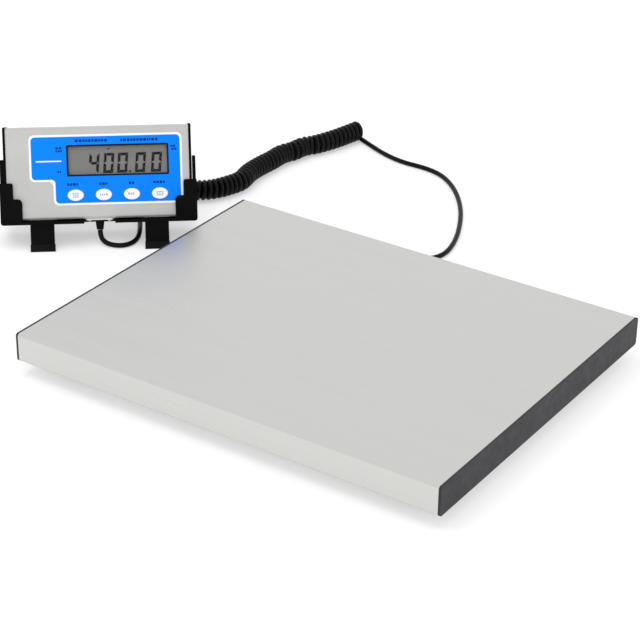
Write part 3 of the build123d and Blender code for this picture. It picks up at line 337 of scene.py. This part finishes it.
def clear_window():
    finish = Finish("clear_window", (0.06, 0.06, 0.06), 0.0, 0.06, Alpha=0.06, Specular_IOR_Level=0.4)
    finish.roughness(finish.noise(300.0), 0.03, 0.09)
    finish.bump(finish.noise(60.0, detail=1.0), 0.03, 0.05)
    return finish.material


def floor_material():
    finish = Finish(
        "pale_floor", (0.57, 0.57, 0.57), 0.0, 0.9,
        Specular_IOR_Level=0.1, Emission_Color=(1, 1, 1, 1), Emission_Strength=0.42,
    )
    finish.colours(finish.noise(12.0), (0.565, 0.565, 0.565), (0.575, 0.575, 0.575))
    return finish.material


FINISHES = {
    "stainless": brushed_steel(),
    "case_silver": grained(
        "silver_paint", (0.47, 0.47, 0.46), 0.03, 2600.0, 0.02, metallic=0.25, roughness=(0.36, 0.46)
    ),
    "black_abs": grained(
        "black_moulding", (0.002, 0.002, 0.0023), 0.3, 1500.0, 0.05,
        roughness=(0.4, 0.52), Specular_IOR_Level=0.05,
    ),
    "frame_steel": grained(
        "grey_powder_coat", (0.1, 0.1, 0.105), 0.15, 900.0, 0.08, roughness=(0.45, 0.6)
    ),
    "zinc_steel": zinc_plate(),
    "rubber": grained(
        "foot_rubber", (0.005, 0.005, 0.005), 0.3, 700.0, 0.1,
        roughness=(0.7, 0.85), Specular_IOR_Level=0.09,
    ),
    "cord_black": grained(
        "cord_vinyl", (0.0025, 0.0025, 0.003), 0.3, 1200.0, 0.03,
        roughness=(0.28, 0.4), Specular_IOR_Level=0.12,
    ),
    "circuit_board": circuit_green(),
    "components": grained(
        "component_epoxy", (0.03, 0.03, 0.03), 0.3, 1100.0, 0.04, roughness=(0.35, 0.5)
    ),
    "label_blue": grained(
        "label_white_edge", (0.86, 0.87, 0.88), 0.02, 1800.0, 0.01, roughness=(0.3, 0.4)
    ),
    "window_clear": clear_window(),
    "lcd_grey": grained(
        "display_grey", (0.225, 0.22, 0.21), 0.06, 2200.0, 0.01,
        roughness=(0.35, 0.45), Specular_IOR_Level=0.2,
    ),
    "key_white": grained("key_white", (0.85, 0.85, 0.87), 0.02, 1600.0, 0.02, roughness=(0.35, 0.45)),
    "battery_wrap": grained(
        "battery_wrap", (0.05, 0.22, 0.12), 0.1, 800.0, 0.03, roughness=(0.25, 0.35)
    ),
    "lead_grey": grained("lead_grey", (0.25, 0.25, 0.26), 0.1, 1000.0, 0.04, roughness=(0.4, 0.5)),
}
LABEL_BLUE = grained(
    "label_blue", (0.0, 0.215, 0.92), 0.03, 1800.0, 0.01,
    roughness=(0.3, 0.4), Specular_IOR_Level=0.06,
)
END_CAP_BLACK = grained(
    "end_cap_black", (0.026, 0.024, 0.028), 0.2, 1300.0, 0.06,
    roughness=(0.45, 0.6), Specular_IOR_Level=0.25,
)
PRINT_NAVY = grained(
    "print_navy", (0.0, 0.035, 0.2), 0.08, 1800.0, 0.01,
    roughness=(0.35, 0.45), Specular_IOR_Level=0.06,
)
PRINT_WHITE = grained("print_white", (0.75, 0.88, 0.97), 0.02, 1800.0, 0.01, roughness=(0.35, 0.45))
PRINT_GREY = grained("print_grey_blue", (0.32, 0.42, 0.52), 0.06, 1800.0, 0.01, roughness=(0.35, 0.45))
INK_DARK = grained(
    "display_ink", (0.006, 0.006, 0.01), 0.1, 1800.0, 0.01,
    roughness=(0.35, 0.45), Specular_IOR_Level=0.1,
)


SPECIAL_FINISHES = {"end_cap_left": END_CAP_BLACK, "end_cap_right": END_CAP_BLACK}


def finish_nodes():
    """Each CAD node takes the finish of its own material slot."""
    for part in record["subparts"]:
        node = frame["nodes"][part["node"]]
        finish = SPECIAL_FINISHES.get(part["node"], FINISHES[part["material_slot"]])
        for slot in node.material_slots:
            slot.material = finish


# ---- camera, floor and light ----
def make_camera():
    camera = link(bpy.data.objects.new("camera", bpy.data.cameras.new("camera")))
    look = CAMERA_FORWARD.to_track_quat("-Z", "Y").to_matrix().to_4x4()
    roll = Matrix.Rotation(CAMERA_ROLL, 4, "Z")
    camera.matrix_world = Matrix.Translation(CAMERA_PLACE) @ look @ roll
    camera.data.lens = CAMERA_LENS
    camera.data.sensor_width = SENSOR_WIDTH
    camera.data.clip_end = 30
    bpy.context.scene.camera = camera


def area_light(name, place, aim, size, power):
    light = bpy.data.lights.new(name, "AREA")
    light.size = size
    light.energy = power
    lamp = link(bpy.data.objects.new(name, light))
    place, aim = Vector(place), Vector(aim)
    turn = (aim - place).to_track_quat("-Z", "Y").to_matrix().to_4x4()
    lamp.matrix_world = Matrix.Translation(place) @ turn
    return lamp


def make_studio():
    half = FLOOR_SIZE / 2
    corners = [(-half, -half, 0), (half, -half, 0), (half, half, 0), (-half, half, 0)]
    floor = mesh_object("floor", corners, [(0, 1, 2, 3)])
    floor.location.z = -FLOOR_GAP
    floor.data.materials.append(floor_material())
    world = bpy.data.worlds.new("studio")
    world.use_nodes = True
    world.node_tree.nodes["Background"].inputs["Color"].default_value = (1, 1, 1, 1)
    world.node_tree.nodes["Background"].inputs["Strength"].default_value = 1.0
    bpy.context.scene.world = world
    overhead = area_light("overhead_softbox", *OVERHEAD_SOFTBOX)
    overhead.visible_glossy = False
    area_light("front_softbox", *FRONT_SOFTBOX)
    bpy.context.scene.view_settings.view_transform = "Standard"


# ---- cord ----
def nurbs_line(name, points, resolution):
    """The smooth line that has these points as its control points, read back as places in metres."""
    curve = bpy.data.curves.new(name, "CURVE")
    curve.dimensions = "3D"
    curve.resolution_u = resolution
    spline = curve.splines.new("NURBS")
    spline.points.add(len(points) - 1)
    for point, place in zip(spline.points, points):
        point.co = (place[0] * MM, place[1] * MM, place[2] * MM, 1)
    spline.order_u = 3
    spline.use_endpoint_u = True
    line = link(bpy.data.objects.new(name, curve))
    bpy.context.view_layer.update()
    mesh = bpy.data.meshes.new_from_object(line.evaluated_get(bpy.context.evaluated_depsgraph_get()))
    places = [vertex.co.copy() for vertex in mesh.vertices]
    bpy.data.objects.remove(line)
    bpy.data.meshes.remove(mesh)
    return places


def directions(places):
    last = len(places) - 1
    return [(places[min(i + 1, last)] - places[max(i - 1, 0)]).normalized() for i in range(last + 1)]


def coil_points():
    """The curly part's turns about its axis, closer together at its start than at its end."""
    axis = [place / MM for place in nurbs_line("coil_axis", COIL_AXIS, AXIS_RESOLUTION)]
    ahead = directions(axis)
    along = np.concatenate([[0.0], np.cumsum([(b - a).length for a, b in zip(axis, axis[1:])])])
    pitches = np.interp(along / along[-1], *zip(*COIL_PITCHES))
    along = np.concatenate([[0.0], np.cumsum(np.diff(along) / pitches[1:])])
    along /= along[-1]
    up = Vector((0, 0, 1))
    count = round(COIL_TURNS * COIL_STEPS)
    points = []
    for step in range(count + 1):
        share = step / count
        i = min(int(np.searchsorted(along, share, side="right")) - 1, len(axis) - 2)
        part = (share - along[i]) / (along[i + 1] - along[i])
        left = up.cross(ahead[i].lerp(ahead[i + 1], part)).normalized()
        angle = 2 * math.pi * COIL_TURNS * share
        offset = up * math.cos(angle) + left * math.sin(angle)
        points.append(tuple(axis[i].lerp(axis[i + 1], part) + offset * COIL_RADIUS))
    return points


def tube(name, path, radius, sides):
    """A closed round tube along a path, its section carried along without twisting."""
    ahead = directions(path)
    side = ahead[0].orthogonal().normalized()
    vertices = []
    for place, tangent in zip(path, ahead):
        side = (side - tangent * side.dot(tangent)).normalized()
        other = tangent.cross(side)
        for k in range(sides):
            angle = 2 * math.pi * k / sides
            vertices.append(place + (side * math.cos(angle) + other * math.sin(angle)) * radius)
    faces = [tuple(reversed(range(sides)))]
    for ring in range(0, len(vertices) - sides, sides):
        for k in range(sides):
            a, b = ring + k, ring + (k + 1) % sides
            faces.append((a, b, b + sides, a + sides))
    faces.append(tuple(range(len(vertices) - sides, len(vertices))))
    return mesh_object(name, vertices, faces)


def make_cord():
    path = nurbs_line("cord_route", CORD_LOOP + coil_points() + CORD_TAIL, CORD_RESOLUTION)
    cord = tube("curly_cord", path, CORD_DIAMETER / 2 * MM, CORD_SIDES)
    finish_piece(cord, FINISHES["cord_black"])
    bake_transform(cord)
    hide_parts("cord_loop", "cord_coil", "cord_tail")


# ---- face label, keys and reading ----
def dashes(x_from, x_to, z, height, seed):
    """A row of short bars of uneven length, in place of small print."""
    lengths = random.Random(seed)
    bars = []
    x = x_from
    while x < x_to - height:
        width = min(lengths.uniform(0.5, 1.3) * height, x_to - x)
        bars.append(rectangle(x + width / 2, z, width, height, height * 0.3))
        x += width + height * 0.3
    return bars


def digit(x, character):
    """Seven-segment digit, leaning slightly to the right."""
    half = SEGMENT_THICKNESS / 2
    left, right = x - DIGIT_WIDTH / 2 + half, x + DIGIT_WIDTH / 2 - half
    low, high = DIGIT_BOTTOM + half, DIGIT_BOTTOM + DIGIT_HEIGHT - half
    middle = (low + high) / 2
    ends = {
        "a": ((left, high), (right, high), (0, 1)), "b": ((right, middle), (right, high), (1, 0)),
        "c": ((right, low), (right, middle), (1, 0)), "d": ((left, low), (right, low), (0, -1)),
        "e": ((left, low), (left, middle), (-1, 0)), "f": ((left, middle), (left, high), (-1, 0)),
        "g": ((left, middle), (right, middle), (0, 0)),
    }
    return [segment(*ends[name], middle) for name in SEGMENTS[character]]


def segment(start, stop, outward, middle):
    """A bar between two places, mitred to the bars that it meets; the middle bar is pointed."""
    a, b, outward = Vector(start), Vector(stop), Vector(outward)
    half = SEGMENT_THICKNESS / 2
    along = (b - a).normalized()
    a, b = a + along * SEGMENT_GAP, b - along * SEGMENT_GAP
    if outward.length:
        before = 0.0 if start[1] == middle else half
        after = 0.0 if stop[1] == middle else half
        points = [
            a + outward * half - along * before, b + outward * half + along * after,
            b - (outward + along) * half, a - (outward - along) * half,
        ]
    else:
        across = Vector((-along.y, along.x)) * half
        points = [
            a, a + along * half + across, b - along * half + across,
            b, b - along * half - across, a + along * half - across,
        ]
    return [(p.x + (p.y - DIGIT_BOTTOM) * DIGIT_SLANT, p.y) for p in points]


def make_label():
    window = rectangle(WINDOW_X, WINDOW_Z, WINDOW_WIDTH, WINDOW_HEIGHT, 1.0)
    keys = [ellipse(x, KEY_Z, KEY_WIDTH + 2 * KEY_GAP, KEY_HEIGHT + 2 * KEY_GAP) for x in KEY_PLACES]
    field = rounded(FIELD_CORNERS, FIELD_RADIUS)
    front = LABEL_FRONT - PRINT_DEPTH
    outlines = [field, window] + keys
    print_piece("label_field", outlines, front, PRINT_DEPTH, "indicator", LABEL_BLUE)
    inside = (WINDOW_WIDTH - 2 * WINDOW_BORDER, WINDOW_HEIGHT - 2 * WINDOW_BORDER)
    border = [window, rectangle(WINDOW_X, WINDOW_Z, *inside, 0.6)]
    print_piece("window_border", border, front, PRINT_DEPTH, "indicator", INK_DARK)
    bars = [bar for seed, row in enumerate(SMALL_PRINT) for bar in dashes(*row, seed)]
    raised, thin = front - PRINT_DEPTH / 2, PRINT_DEPTH / 2
    print_piece("label_print", bars, raised, thin, "indicator", PRINT_NAVY)
    line = [rectangle(*LABEL_LINE)]
    print_piece("label_line", line, raised, thin, "indicator", PRINT_WHITE)


def make_key_marks():
    """A plain printed mark on each key: a grid, two bars and a frame."""
    marks = [
        [rectangle(dx, dz, 1.5, 1.1, 0.2) for dx in (-1.9, 0.0, 1.9) for dz in (-1.6, 0.0, 1.6)],
        dashes(-3.6, 3.8, 0.0, 1.7, 41),
        dashes(-3.4, 3.6, 0.3, 1.9, 42),
        [rectangle(0, 0, *size) for size in ((5.6, 3.6, 0.8), (4.0, 2.0, 0.4), (1.6, 0.8, 0.3))],
    ]
    front = LABEL_FRONT - KEY_PROUD - PRINT_DEPTH / 2
    for number, (x, outlines) in enumerate(zip(KEY_PLACES, marks), start=1):
        placed = [[(px + x, pz + KEY_Z) for px, pz in outline] for outline in outlines]
        name, key = f"key_mark_{number}", f"key_{number}"
        print_piece(name, placed, front, PRINT_DEPTH / 2, key, PRINT_GREY)


def make_reading():
    outlines = [bar for x, character in DIGIT_PLACES for bar in digit(x, character)]
    outlines.append(rectangle(*POINT_PLACE, POINT_SIZE, POINT_SIZE, POINT_ROUND))
    outlines.append(UNIT_MARK)
    front = LCD_FRONT - PRINT_DEPTH
    print_piece("reading", outlines, front, PRINT_DEPTH, "indicator", INK_DARK)


make_camera()
make_cord()
finish_nodes()
make_studio()
make_label()
make_key_marks()
make_reading()
